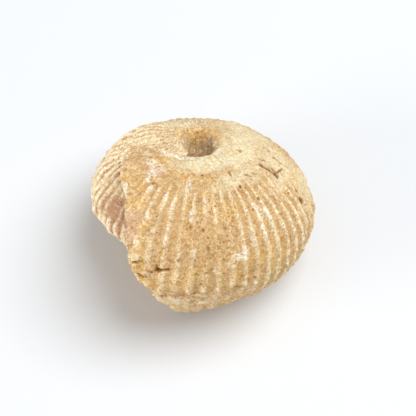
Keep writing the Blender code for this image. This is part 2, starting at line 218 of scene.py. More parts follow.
GOLD_PATCHES = (
    (231, 57, 5.0, 5.0, 0.8), (239, 45, 3.6, 5.0, 0.9), (247, 33, 2.0, 7.0, 0.8),
    (256, -5, 4.0, 2.6, 0.6), (265, -4, 8.0, 2.6, 0.6), (430, 94, 22.0, 8.0, 0.6),
    (470, 95, 12.0, 8.0, 0.8), (515, 92, 12.0, 12.0, 0.8), (548, 92, 8.0, 8.0, 0.8),
    (312, 60, 9.0, 4.0, 0.4), (278, 0, 26.0, 9.0, 0.5), (300, 6, 20.0, 12.0, 0.4),
    (250, 2, 5.0, 8.0, 0.9), (277, -16, 28.0, 8.0, 0.6), (255, -6, 5.0, 4.0, 0.8),
    (222, 58, 3.0, 6.0, 0.7))
# Pink stains; the three at azimuths 560 to 580 are reddish staining and a painted shadow on the
# older whorl beside the broken end
PINK_PATCHES = (
    (242, 29, 4.0, 13.0, 0.9), (227, 70, 7.0, 4.0, 0.6), (571, 14, 7.0, 9.0, 0.8),
    (213, 74, 5.0, 4.0, 0.5), (279, -15, 24.0, 5.0, 0.5), (580, 17, 7.0, 13.0, 1.0),
    (560, 40, 2.0, 9.0, 0.5))
CREAM_PATCHES = (
    (300, 90, 16.0, 11.0, 1.0), (335, 78, 14.0, 11.0, 1.0), (365, 76, 13.0, 10.0, 0.9),
    (345, 92, 9.0, 9.0, 0.9), (395, 62, 18.0, 14.0, 0.8), (355, 52, 16.0, 14.0, 0.7),
    (325, 64, 10.0, 8.0, 0.7), (362, 26, 12.0, 16.0, 0.6), (305, 66, 9.0, 6.0, 0.7),
    (288, 62, 3.0, 3.0, 0.5), (248, 9, 3.0, 3.6, 0.9), (254, 86, 8.0, 6.0, 0.6),
    (262, -17, 8.0, 4.0, 0.5), (430, 72, 24.0, 12.0, 0.45), (470, 74, 14.0, 10.0, 0.4),
    (299, 62, 9.0, 5.0, 0.5), (351, 22, 8.0, 20.0, 0.5))
SMOOTH_PATCHES = CREAM_PATCHES[:4]

# Where the ribs are worn faint, in the same way
FAINT_PATCHES = (
    (310, 80, 30.0, 16.0, 0.85), (380, 66, 36.0, 30.0, 0.6), (450, 66, 44.0, 36.0, 0.5),
    (500, 84, 24.0, 16.0, 0.85), (545, 89, 22.0, 13.0, 0.85), (452, 86, 22.0, 12.0, 0.8),
    (372, 10, 30.0, 50.0, 0.3), (281, 30, 12.0, 24.0, 0.5))

# Stage, in metres
FLOOR_REACH = 3
LAMP_TARGET = (0, 0, 0.015)
KEY_LAMP_PLACE, KEY_LAMP_WIDTH = (0.62, 0.02, 1.38), 1.3
FILL_LAMP_PLACE, FILL_LAMP_WIDTH = (-1.32, -0.54, 0.24), 0.8
SKY_COLOUR = (0.975, 0.995, 1.02, 1)


class StoneSizes(PropertyGroup):
    """Sizes of the coil and of its relief."""
    venter_radius: FloatProperty(
        name="Radius", description="Distance from the axis to the venter at the reference line",
        default=0.0360, unit='LENGTH', subtype='DISTANCE')
    upper_half_width: FloatProperty(
        name="Upper half width", description="Height of the last whorl over its middle plane",
        default=0.0186, unit='LENGTH', subtype='DISTANCE')
    lower_half_width: FloatProperty(
        name="Lower half width", description="Depth of the last whorl under its middle plane",
        default=0.0252, unit='LENGTH', subtype='DISTANCE')
    radius_loss: FloatProperty(
        name="Radius loss", description="Loss of radius for each radian back along the coil",
        default=0.052)
    upper_width_loss: FloatProperty(
        name="Upper width loss", description="Loss of upper half width for each radian back",
        default=-0.017)
    lower_width_loss: FloatProperty(
        name="Lower width loss", description="Loss of lower half width for each radian back",
        default=0.165)
    ribs: IntProperty(name="Ribs", description="Ribs in one turn of the coil", default=59)
    rib_crest_azimuth: FloatProperty(
        name="Rib crest", description="Azimuth of one of the rib crests", default=radians(247),
        subtype='ANGLE')
    rib_height: FloatProperty(
        name="Rib height", description="Height of a rib over the stone between two ribs",
        default=0.00062, unit='LENGTH', subtype='DISTANCE')
    roughness_depth: FloatProperty(
        name="Unevenness", description="How far the weathered surface swells and sinks",
        default=0.00028, unit='LENGTH', subtype='DISTANCE')
    fracture_depth: FloatProperty(
        name="Fracture relief", description="How far the broken end swells and sinks",
        default=0.0009, unit='LENGTH', subtype='DISTANCE')


class StoneColours(PropertyGroup):
    """Colours of the stone."""
    ground: FloatVectorProperty(
        name="Ground", description="Stone between the ribs", subtype='COLOR', size=4,
        min=0, max=1, default=(0.620, 0.400, 0.185, 1))
    crest: FloatVectorProperty(
        name="Crests", description="Worn, lighter stone on the ribs", subtype='COLOR', size=4,
        min=0, max=1, default=(0.89, 0.715, 0.45, 1))
    gold: FloatVectorProperty(
        name="Gold", description="Ochre patches", subtype='COLOR', size=4,
        min=0, max=1, default=(0.78, 0.475, 0.14, 1))
    cream: FloatVectorProperty(
        name="Cream", description="Smooth pale stone beside the umbilicus", subtype='COLOR', size=4,
        min=0, max=1, default=(0.86, 0.785, 0.54, 1))
    # The pale colour also paints highlights along the broken edge and the lip, and glints on the
    # wall of the umbilicus.
    pale: FloatVectorProperty(
        name="Pale", description="White crust", subtype='COLOR', size=4,
        min=0, max=1, default=(0.94, 0.86, 0.70, 1))
    # The pink colour also paints a shadow on the older whorl beside the broken end.
    pink: FloatVectorProperty(
        name="Pink", description="Smooth shell stained pink", subtype='COLOR', size=4,
        min=0, max=1, default=(0.62, 0.38, 0.25, 1))
    # The russet colour also paints a shadow on the older whorl beside the broken end.
    russet: FloatVectorProperty(
        name="Russet", description="Stain in grooves of the older whorl", subtype='COLOR', size=4,
        min=0, max=1, default=(0.50, 0.27, 0.14, 1))
    # The brown colour is also painted shade on the slopes of pits and cracks and on the front of
    # the last whorl.
    brown: FloatVectorProperty(
        name="Brown", description="Stain in pits and in the umbilicus", subtype='COLOR', size=4,
        min=0, max=1, default=(0.43, 0.22, 0.07, 1))
    # The shade colour paints shade deep in pits and cracks, and the dark specks of the stone.
    shade: FloatVectorProperty(
        name="Shade", description="Soil deep in pits, cracks and pores", subtype='COLOR', size=4,
        min=0, max=1, default=(0.28, 0.11, 0.018, 1))


class StageSettings(PropertyGroup):
    """Camera, lights and floor."""
    camera_elevation: FloatProperty(
        name="Camera elevation", description="Height of the camera over the horizon",
        default=radians(56), subtype='ANGLE')
    camera_distance: FloatProperty(
        name="Camera distance", description="Distance from the middle of the coil to the camera",
        default=0.52491, unit='LENGTH', subtype='DISTANCE')
    camera_right: FloatProperty(
        name="Camera right", description="Step of the camera to its right",
        default=0.00397, unit='LENGTH', subtype='DISTANCE')
    camera_up: FloatProperty(
        name="Camera up", description="Step of the camera to its top",
        default=-0.00194, unit='LENGTH', subtype='DISTANCE')
    lens: FloatProperty(name="Lens", description="Focal length in millimetres", default=167.93)
    key_power: FloatProperty(
        name="Key light", description="Power of the large lamp high over the fossil",
        default=20.5, unit='POWER')
    fill_power: FloatProperty(
        name="Fill light", description="Power of the lamp low at the left",
        default=13.0, unit='POWER')
    sky: FloatProperty(name="Sky", description="Strength of the light from all round", default=0.45)
    floor_colour: FloatVectorProperty(
        name="Floor", description="Colour of the floor", subtype='COLOR', size=4,
        min=0, max=1, default=(0.782, 0.80, 0.818, 1))


def smooth_step(values):
    clipped = np.clip(values, 0, 1)
    return clipped * clipped * (3 - 2 * clipped)


def lattice_numbers(cells, seed):
    """A repeatable number from 0 to 1 for each whole-number cell of space."""
    mixed = cells[..., 0] * 73856093 + cells[..., 1] * 19349663 + cells[..., 2] * 83492791
    mixed = (mixed + seed * 40503) & 0x7FFFFFFF
    mixed = ((mixed >> 15) ^ mixed) * 0x2C1B3C6D & 0x7FFFFFFF
    mixed = ((mixed >> 12) ^ mixed) * 0x297A2D39 & 0x7FFFFFFF
    return ((mixed >> 15) ^ mixed) % 65536 / 65535


def noise(points, size, seed, octaves=1):
    """Smooth noise from about -1 to 1, whose swells are of the given size."""
    total = np.zeros(points.shape[:-1])
    reach = 0.0
    for octave in range(octaves):
        scaled = points / size * 2 ** octave + seed * 7.31
        cell = np.floor(scaled).astype(np.int64)
        share = scaled - cell
        share = share * share * (3 - 2 * share)
        value = np.zeros(points.shape[:-1])
        for corner in range(8):
            step = np.array((corner & 1, corner >> 1 & 1, corner >> 2 & 1))
            weight = np.prod(np.where(step == 1, share, 1 - share), axis=-1)
            value += weight * lattice_numbers(cell + step, seed + octave)
        total += (2 * value - 1) * 0.5 ** octave
        reach += 0.5 ** octave
    return total / reach * 1.4


def shell_radius(sizes, grown):
    return sizes.venter_radius * np.exp(-sizes.radius_loss * grown)


def upper_half_width(sizes, grown):
    sink = OLD_SINK * smooth_step((grown - OLD_SINK_FROM) / (OLD_SINK_TO - OLD_SINK_FROM))
    return sizes.upper_half_width * np.exp(-sizes.upper_width_loss * grown) * (1 - sink)


def lower_half_width(sizes, grown):
    return sizes.lower_half_width * np.exp(-sizes.lower_width_loss * grown)


def lift(azimuth):
    """Height by which the coil is bent up or down at an azimuth."""
    turn = np.degrees(azimuth) % 360
    rise = smooth_step((turn - LIFT_RISE[0]) / (LIFT_RISE[1] - LIFT_RISE[0]))
    fall = smooth_step((turn - LIFT_FALL[0]) / (LIFT_FALL[1] - LIFT_FALL[0]))
    sag = 0.5 + 0.5 * np.cos(pi * np.clip((turn - SAG_MIDDLE) / SAG_REACH, -1, 1))
    return LIFT_HEIGHT * rise * (1 - fall) - SAG_DEPTH * sag


def shoulder_share(grown):
    return SHOULDER_RADIUS * np.exp(-SHOULDER_LOSS * grown)


def flank_section(sizes, latitude, grown):
    """Radius and height of the outer section, from 90 degrees at the top to -90 below."""
    shoulder = shoulder_share(grown)
    outward = np.abs(np.cos(latitude)) ** (2 / VENTER_ROUNDNESS)
    radius = shell_radius(sizes, grown) * (shoulder + (1 - shoulder) * outward)
    upper = UPPER_ROUNDNESS * np.exp(
        -UPPER_ROUNDNESS_LOSS * np.minimum(grown, ROUNDNESS_STEADY_FROM))
    above = upper_half_width(sizes, grown) * np.abs(np.sin(latitude)) ** (2 / upper)
    below = -lower_half_width(sizes, grown) * np.abs(np.sin(latitude)) ** (2 / LOWER_ROUNDNESS)
    return radius, np.where(latitude >= 0, above, below)


def shoulder_drop(azimuth):
    """Share of the half width by which the stone drops from the shoulder to the wall."""
    turn = np.degrees(azimuth) % 360
    bowl = 0.5 + 0.5 * np.cos(pi * np.clip((turn - BOWL_MIDDLE) / BOWL_REACH, -1, 1))
    return SHOULDER_DROP + BOWL_DROP * bowl


def funnel_section(sizes, inward, azimuths, half_width, floor_height, floor_radius):
    """Radius and height inside an umbilicus: a rounded shoulder, a steep wall, then the floor."""
    grown = azimuths - REFERENCE_AZIMUTH
    turn = np.clip(1 - 2 * inward, 0, 1) * pi / 2
    share = HOLE_RADIUS + (shoulder_share(grown) - HOLE_RADIUS) * (1 - np.cos(turn))
    radius = shell_radius(sizes, grown) * share
    height = half_width * (1 - shoulder_drop(azimuths) * (1 - np.sin(turn)))
    down = np.clip(2 * inward - 1, 0, 1)
    radius = radius + (floor_radius - radius) * down ** 1.5
    return radius, height + (floor_height - height) * down ** 0.8


def section(sizes, steps, azimuths):
    """Radius and height for steps along the section, at the azimuths of growth lines."""
    grown = azimuths - REFERENCE_AZIMUTH
    latitude = pi / 2 - pi * np.clip(steps / FLANK_STEPS, 0, 1)
    radius, height = flank_section(sizes, latitude, grown)
    bend = lift(azimuths)
    upper, lower = upper_half_width(sizes, grown), -lower_half_width(sizes, grown)
    sides = ((-steps, UPPER_FUNNEL_STEPS, upper, UPPER_FLOOR),
             (steps - FLANK_STEPS, LOWER_FUNNEL_STEPS, lower, LOWER_FLOOR))
    for beyond, inward_steps, half_width, floor in sides:
        inward = np.interp(beyond, np.arange(len(inward_steps) + 1), (0,) + inward_steps)
        inner_radius, inner_height = funnel_section(sizes, inward, azimuths, half_width, *floor)
        radius = np.where(beyond > 0, inner_radius, radius)
        height = np.where(beyond > 0, inner_height, height) - bend * np.clip(2 * inward - 1, 0, 1)
    return radius, height + bend


def section_points(sizes, steps, azimuths):
    radius, height = section(sizes, steps, azimuths)
    return np.stack((radius * np.cos(azimuths), radius * np.sin(azimuths), height), axis=-1)


def row_steps(sizes):
    """Steps of the rows along the section, evenly spaced but wider apart underneath."""
    fine = np.linspace(-len(UPPER_FUNNEL_STEPS), FLANK_STEPS + len(LOWER_FUNNEL_STEPS), 4000)
    points = section_points(sizes, fine, np.full_like(fine, ROW_SPACING_AZIMUTH))
    lengths = np.linalg.norm(np.diff(points, axis=0), axis=1)
    lengths *= np.where(fine[1:] > UNDERSIDE_FROM_STEP, UNDERSIDE_SHARE, 1)
    along = np.concatenate(((0,), np.cumsum(lengths)))
    return np.interp(np.linspace(0, along[-1], ROWS), along, fine)


def break_azimuths(steps):
    """Azimuth at which the last whorl is broken off, for each row."""
    line = np.array(BREAK_LINE[::-1], dtype=float)
    azimuths = np.interp(90 - 180 * steps / FLANK_STEPS, line[:, 0], line[:, 1])
    top = np.interp(steps, (-1, 0), (BREAK_SEAM_AZIMUTH, BREAK_LINE[0][1]))
    along = np.stack((steps, steps * 0, steps * 0), axis=-1)
    ragged = RAGGEDNESS * noise(along, 0.5, 3, 3) * smooth_step(steps / 1.5)
    return np.radians(np.where(steps < 0, top, azimuths) + ragged)


def column_azimuths(sizes, breaks):
    """Azimuths of the growth lines of each row. Those past the broken end gather on its edge."""
    spacing = 2 * pi / (sizes.ribs * COLUMNS_PER_RIB)
    first = np.floor((breaks.min() - sizes.rib_crest_azimuth) / spacing)
    last = np.ceil((breaks.max() + 2 * pi - sizes.rib_crest_azimuth) / spacing)
    azimuths = sizes.rib_crest_azimuth + spacing * np.arange(first, last + 1)
    starts, ends = breaks[:, None], breaks[:, None] + 2 * pi
    azimuths = np.where(azimuths < starts + spacing / 3, starts, azimuths[None, :])
    return np.where(azimuths > ends - spacing / 3, ends, azimuths)


def slide(steps, from_break):
    """How far the rows slide toward the venter on the oldest part of the coil."""
    middle = FLANK_STEPS / 2
    from_venter = np.abs(steps - middle) / middle
    outer = smooth_step((from_venter - 0.3) / 0.6)
    inner = smooth_step((1.5 - from_venter) / 0.4)
    oldest = smooth_step((from_break - SLIDE_FROM) / (2 * pi - SLIDE_FROM))
    return np.sign(middle - steps) * SLIDE_STEPS * outer * inner * oldest


def half(millimetres):
    """Half of a measure in millimetres, in metres."""
    return millimetres / 2000


def patch_mask(patches, azimuths, latitude, radius, spread, edge=1.0):
    """How much of each patch lies at each point, with edges broken up by noise.

    Latitudes over 90 degrees are inside the upper umbilicus. A smaller edge makes a crisper patch.
    """
    mask = np.zeros_like(azimuths)
    for azimuth, middle, width, height, strength in patches:
        across = (azimuths - radians(azimuth)) * radius / half(width)
        upward = (latitude - radians(middle)) * LATITUDE_LENGTH / half(height)
        reach = np.hypot(across, upward) + 0.45 * spread
        mask = np.maximum(mask, strength * smooth_step((1.1 + edge / 2 - reach) / edge))
    return mask


def flank_point(sizes, azimuth, latitude):
    return section_points(sizes, np.array(FLANK_STEPS * (0.5 - latitude / pi)), np.array(azimuth))


def turned_axes(sizes, azimuth, latitude, turn):
    """Centre of a mark on the flank and the axes along its length, across it and outward."""
    nudge = radians(1)
    centre, above, below, older, younger = (
        flank_point(sizes, azimuth + turned, latitude + raised)
        for turned, raised in ((0, 0), (0, nudge), (0, -nudge), (nudge, 0), (-nudge, 0)))
    upward = (above - below) / np.linalg.norm(above - below)
    outward = np.cross(older - younger, upward)
    outward /= np.linalg.norm(outward)
    level = np.cross(outward, upward)
    along = upward * cos(turn) + level * sin(turn)
    across = level * cos(turn) - upward * sin(turn)
    return centre, along, across, outward


def pit_depths(sizes, points, spread):
    """Depth of the pits at each point, in metres."""
    depths = np.zeros(points.shape[:-1])
    for azimuth, latitude, length, width, depth, turn in PITS:
        centre, along, across, outward = turned_axes(
            sizes, radians(azimuth), radians(latitude), radians(turn))
        offset = points - centre
        reach = np.hypot(offset @ along / half(length), offset @ across / half(width))
        reach = reach + np.abs(offset @ outward) / 0.004 + 0.8 * spread
        depths = np.maximum(depths, depth / 1000 * smooth_step((1.2 - reach) / 0.6))
    return depths


def crack_depths(sizes, points, spread):
    """Depth of the cracks at each point, in metres. They wander a little off their lines."""
    depths = np.zeros(points.shape[:-1])
    wander = np.stack([noise(points, WANDER_SIZE, seed, 2) for seed in WANDER_SEEDS], axis=-1)
    points = points + CRACK_WANDER * wander
    for line, width, depth in CRACKS:
        corners = [flank_point(sizes, radians(azimuth), radians(latitude))
                   for azimuth, latitude in line]
        for start, end in zip(corners[:-1], corners[1:]):
            run = end - start
            share = np.clip((points - start) @ run / (run @ run), 0, 1)
            offset = points - start - share[..., None] * run
            reach = np.linalg.norm(offset, axis=-1) / half(width) - 0.7 * spread
            depths = np.maximum(depths, depth / 1000 * smooth_step((1.4 - reach) / 0.7))
    return depths


def lump_heights(azimuths, latitude, radius):
    """Height of the lumps at each point, in metres."""
    heights = np.zeros_like(azimuths)
    for azimuth, middle, width, height in LUMPS:
        across = (azimuths - radians(azimuth)) * radius
        upward = (latitude - radians(middle)) * LATITUDE_LENGTH
        heights += height / 1000 * smooth_step(1.5 - np.hypot(across, upward) / half(width))
    return heights


def outward_directions(sizes, steps, azimuths):
    """Directions square to the smooth surface of the coil."""
    nudge = 0.03
    after = section_points(sizes, steps + nudge, azimuths)
    before = section_points(sizes, steps - nudge, azimuths)
    tangent = np.stack((-np.sin(azimuths), np.cos(azimuths), np.zeros_like(azimuths)), axis=-1)
    outward = np.cross(after - before, tangent)
    return outward / np.linalg.norm(outward, axis=-1, keepdims=True)


def end_wear(azimuths, latitude, degrees_back, old, broad, middling):
    """How whole the ribs are beside the broken end, and the worn band near the floor."""
    height = np.degrees(latitude)
    least, most = WORN_END_WIDTH
    low, high = WORN_END_RISE
    width = least + (most - least) * smooth_step((height - low) / (high - low))
    whole = smooth_step((degrees_back - 0.15 * width - 3 * broad) / width)
    low_band = smooth_step((LOW_BAND_TOP - height + 1.5 * middling) / 2.5) * (1 - old)
    return whole, low_band * smooth_step((radians(LOW_BAND_END) - azimuths) / 0.3)


def rib_strength(azimuths, latitude, old, faint):
    """Share of their full height that the ribs have: all on the flank, and little near the rim."""
    off_rim = np.cos(np.clip(latitude, -pi / 2, pi / 2))
    on_flank = smooth_step((off_rim - 0.22 * (1 - old)) / (0.45 - 0.25 * old))
    on_flank = np.maximum(on_flank, 0.45 * smooth_step(off_rim / 0.15))
    return on_flank * (1 - faint) * np.exp(-RIB_LOSS * (azimuths - REFERENCE_AZIMUTH))


def coil_surface(sizes):
    """Points of the coil about its own axis, and masks of its wear, colours and painted light and
    shade, on one grid.
    """
    rows = row_steps(sizes)[:, None]
    breaks = break_azimuths(rows[:, 0])
    azimuths = column_azimuths(sizes, breaks)
    from_break = azimuths - breaks[:, None]
    steps = rows + slide(rows, from_break)
    latitude = pi / 2 - pi * steps / FLANK_STEPS
    smooth_points = section_points(sizes, steps, azimuths)
    radius, _ = section(sizes, steps, azimuths)

    broad = noise(smooth_points, *BROAD_NOISE, 2)
    middling = noise(smooth_points, *MIDDLING_NOISE, 2)
    fine = noise(smooth_points, *FINE_NOISE, 2)
    spread = 0.6 * middling + 0.6 * fine
    degrees_back = np.degrees(from_break)
    old = smooth_step((degrees_back - OLDER_FROM) / (OLDER_TO - OLDER_FROM))
    whole, low_band = end_wear(azimuths, latitude, degrees_back, old, broad, middling)

    phase = (azimuths - sizes.rib_crest_azimuth) * sizes.ribs + 0.55 * broad + 0.25 * middling
    crest = (0.5 + 0.5 * np.cos(phase)) ** (CREST_POWER * (1 - old) + OLDER_CREST_POWER * old)
    groove = (0.5 - 0.5 * np.cos(phase)) ** (GROOVE_POWER * (1 - old) + OLDER_GROOVE_POWER * old)
    faint = patch_mask(FAINT_PATCHES, azimuths, latitude, radius, 0.4 * middling)
    strength = rib_strength(azimuths, latitude, old, np.maximum(faint, 0.6 * low_band)) * whole
    strength = strength * np.clip(0.95 + 0.3 * broad + 0.45 * middling + 0.25 * fine, 0.3, 1.3)
    wall_ribs = 0.5 * smooth_step(-(steps + 0.9) / 1.2)
    rib = crest * np.maximum(strength, wall_ribs * (0.7 + 0.5 * middling))

    pits = pit_depths(sizes, smooth_points, spread)
    hollow = np.maximum(pits, crack_depths(sizes, smooth_points, fine))
    pores = PORE_DEPTH * smooth_step((noise(smooth_points, *PORE_NOISE) - 0.62) / 0.5)
    smooth_side = patch_mask(SMOOTH_PATCHES, azimuths, latitude, radius, 0.6 * middling)
    uneven = 0.7 * middling + 0.55 * fine * (1 - 0.6 * smooth_side) + 0.8 * broad
    grain = WORN_GRAIN * np.maximum(1 - whole, low_band) * noise(smooth_points, *WORN_NOISE, 3)
    raised = sizes.rib_height * rib * (1 + 0.4 * old) + sizes.roughness_depth * uneven + grain
    raised = raised + lump_heights(azimuths, latitude, radius) - hollow - pores
    points = smooth_points + outward_directions(sizes, steps, azimuths) * raised[..., None]

    # Pale band along the broken edge: white crust and a painted highlight
    edge = smooth_step(1.4 - from_break * radius / EDGE_WIDTH) * smooth_step(latitude / 0.4)
    edge = edge * smooth_step((1.15 - latitude) / 0.2)
    edge = edge * smooth_step(0.6 + 0.9 * middling) * (steps > 0)
    masks = {
        "rib": rib,
        "groove": np.clip(groove * strength * (0.9 + 0.6 * old) * (1.1 + 0.9 * middling), 0, 1),
        "edge": edge,
        "old": old,
        "funnel": np.clip(-steps / 4 + 0.06 * middling, 0, 1),
        "low_band": low_band,
        "worn": 1 - whole,
        # Painted shade of the pits and cracks, full at the depth given above
        "hollow": np.clip(hollow / FULL_SHADE_DEPTH, 0, 1.4),
        "pale": patch_mask(PALE_PATCHES, azimuths, latitude, radius, 1.6 * spread, 0.5),
        "wall_crust_and_glints": patch_mask(WALL_PATCHES, azimuths, latitude, radius, 0.5 * fine),
        "cream": patch_mask(CREAM_PATCHES, azimuths, latitude, radius, middling),
        "fracture": np.zeros_like(azimuths),
    }
    for name, patches in (("lip", LIP_PATCHES), ("stain_and_shade", BROWN_PATCHES), ("gold", GOLD_PATCHES),
                          ("pink", PINK_PATCHES)):
        masks[name] = patch_mask(patches, azimuths, latitude, radius, spread)
    across = azimuths * np.maximum(radius, LEAST_STREAK_RADIUS)
    growth = np.stack((across, steps * STEP_LENGTH, np.zeros_like(steps)), axis=-1)
    return points, breaks, masks, growth


def break_wall(sizes, points, breaks):
    """Growth lines that step up from the older whorl to the broken end of the last."""
    old, new = points[:, -1:], points[:, :1]
    shares = (np.arange(1, BREAK_COLUMNS) / BREAK_COLUMNS)[None, :, None]
    wall = old + (new - old) * shares
    forward = np.stack((np.sin(breaks), -np.cos(breaks), np.zeros_like(breaks)), axis=-1)[:, None]
    rise = np.linalg.norm(new - old, axis=-1)
    window = np.sin(pi * shares[..., 0]) ** 0.5 * np.clip(rise / 0.006, 0, 1)
    swell = noise(wall, *BREAK_NOISE, 2) + 0.5 * noise(wall, *FINE_BREAK_NOISE, 2)
    return wall + forward * (sizes.fracture_depth * swell * window)[..., None]


def resting_turn():
    turn = Matrix.Rotation(-LEAN_BACK, 3, 'X') @ Matrix.Rotation(LEAN_RIGHT, 3, 'Y')
    return turn @ Matrix.Rotation(COIL_TURN, 3, 'Z')


def lay_down(points):
    """Turn the coil as it rests and move it to its place."""
    return points @ np.array(resting_turn()).T + np.array(COIL_CENTRE)


def add_attribute(mesh, name, kind, values):
    attribute = mesh.attributes.new(name, kind, 'POINT')
    key = "vector" if kind == 'FLOAT_VECTOR' else "value"
    attribute.data.foreach_set(key, np.asarray(values, dtype=np.float32).ravel())


def shell_mesh(sizes):
    """The mesh of the fossil, closed with a fan at the floor of each umbilicus. close_mesh cuts it
    level where it rests.
    """
    points, breaks, masks, growth = coil_surface(sizes)
    wall = break_wall(sizes, points, breaks)
    row_count, column_count = points.shape[0], points.shape[1] + wall.shape[1]
    grid = np.concatenate((points, wall), axis=1).reshape(-1, 3)
    poles = np.array(((0, 0, UPPER_FLOOR[0]), (0, 0, LOWER_FLOOR[0])))
    places = lay_down(np.concatenate((grid, poles)))
    number = np.arange(row_count * column_count).reshape(row_count, column_count)
    after = np.roll(number, -1, axis=1)
    quads = np.stack((number[:-1], number[1:], after[1:], after[:-1]), axis=-1).reshape(-1, 4)
    top, bottom = len(grid), len(grid) + 1
    caps = [(top, a, b) for a, b in zip(number[0], after[0])]
    caps += [(bottom, b, a) for a, b in zip(number[-1], after[-1])]
    mesh = bpy.data.meshes.new("ammonite")
    mesh.from_pydata(places.tolist(), [], quads.tolist() + caps)
    for name, mask in masks.items():
        end = np.full(wall.shape[:2], 1.0 if name == "fracture" else 0.0)
        add_attribute(mesh, name, 'FLOAT', np.append(np.concatenate((mask, end), axis=1), (0, 0)))
    wall_growth = np.repeat(growth[:, -1:], wall.shape[1], axis=1)
    lines = np.concatenate((growth, wall_growth), axis=1).reshape(-1, 3)
    add_attribute(mesh, "growth", 'FLOAT_VECTOR', np.concatenate((lines, lines[:2])))
    return mesh


def close_mesh(mesh):
    """Join gathered points, cut the lowest stone level and turn all faces outward."""
    surface = bmesh.new()
    surface.from_mesh(mesh)
    bmesh.ops.remove_doubles(surface, verts=surface.verts[:], dist=1e-6)
    everything = surface.verts[:] + surface.edges[:] + surface.faces[:]
    bmesh.ops.bisect_plane(surface, geom=everything, dist=1e-7, plane_co=(0, 0, 0),
                           plane_no=(0, 0, -1), clear_outer=True)
    bmesh.ops.holes_fill(surface, edges=surface.edges[:], sides=0)
    bmesh.ops.triangulate(surface, faces=surface.faces[:])
    bmesh.ops.recalc_face_normals(surface, faces=surface.faces[:])
    surface.to_mesh(mesh)
    surface.free()
    mesh.shade_smooth()


class Wire:
    """An output socket of a node tree. An expression on wires adds its Math nodes."""

    def __init__(self, tree, socket=None):
        self.tree = tree
        self.socket = socket

    def node(self, kind, settings=None, inputs=None, output=0):
        """Any node: its type, its settings, which are set first, and the values of its sockets."""
        added = self.tree.nodes.new(kind)
        for name, value in (settings or {}).items():
            setattr(added, name, value)
        for name, value in (inputs or {}).items():
            if isinstance(value, Wire):
                self.tree.links.new(value.socket, added.inputs[name])
            else:
                added.inputs[name].default_value = value
        return Wire(self.tree, added.outputs[output])

    def maths(self, operation, *values):
        sockets = dict(enumerate((self,) + values))
        return self.node("ShaderNodeMath", {"operation": operation}, sockets)

    def __add__(self, other):
        return self.maths('ADD', other)

    def __radd__(self, other):
        return self.maths('ADD', other)

    def __sub__(self, other):
        return self.maths('SUBTRACT', other)

    def __rsub__(self, other):
        return self.node("ShaderNodeMath", {"operation": 'SUBTRACT'}, {0: other, 1: self})

    def __mul__(self, other):
        return self.maths('MULTIPLY', other)

    def __rmul__(self, other):
        return self.maths('MULTIPLY', other)

    def span(self, low, high):
        """0 below the low value and 1 above the high one, with a smooth rise between them."""
        return self.node("ShaderNodeMapRange", {"interpolation_type": 'SMOOTHSTEP'},
                         {"Value": self, "From Min": low, "From Max": high})

    def blend(self, first, second):
        """The first colour where this wire is 0 and the second where it is 1."""
        return self.node("ShaderNodeMix", {"data_type": 'RGBA'},
                         {0: self, 6: first, 7: second}, output=2)

    def mask(self, name):
        return self.node("ShaderNodeAttribute", {"attribute_name": name}, output=2)

    def grain(self, place, size, detail=2.0, roughness=0.5, stretch=None, twist=0.0):
        """Noise from 0 to 1 whose swells have the given size in metres."""
        scale = (1 / size,) * 3 if stretch is None else tuple(part / size for part in stretch)
        scaled = self.node("ShaderNodeVectorMath", {"operation": 'MULTIPLY'}, {0: place, 1: scale})
        return self.node("ShaderNodeTexNoise", {"noise_dimensions": '3D'},
                         {"Vector": scaled, "Scale": 1.0, "Detail": detail, "Roughness": roughness,
                          "Distortion": twist})

    def cells(self, place, size, output=0):
        """Distance to the nearest of scattered points in shares of the size, or with output 1 a
        number from 0 to 1 for each point."""
        scaled = self.node("ShaderNodeVectorMath", {"operation": 'MULTIPLY'},
                           {0: place, 1: (1 / size,) * 3})
        return self.node("ShaderNodeTexVoronoi", {"feature": 'F1'},
                         {"Vector": scaled, "Scale": 1.0, "Randomness": 1.0}, output)


def new_material(name):
    material = bpy.data.materials.new(name)
    material.use_nodes = True
    return material, material.node_tree.nodes["Principled BSDF"], Wire(material.node_tree)


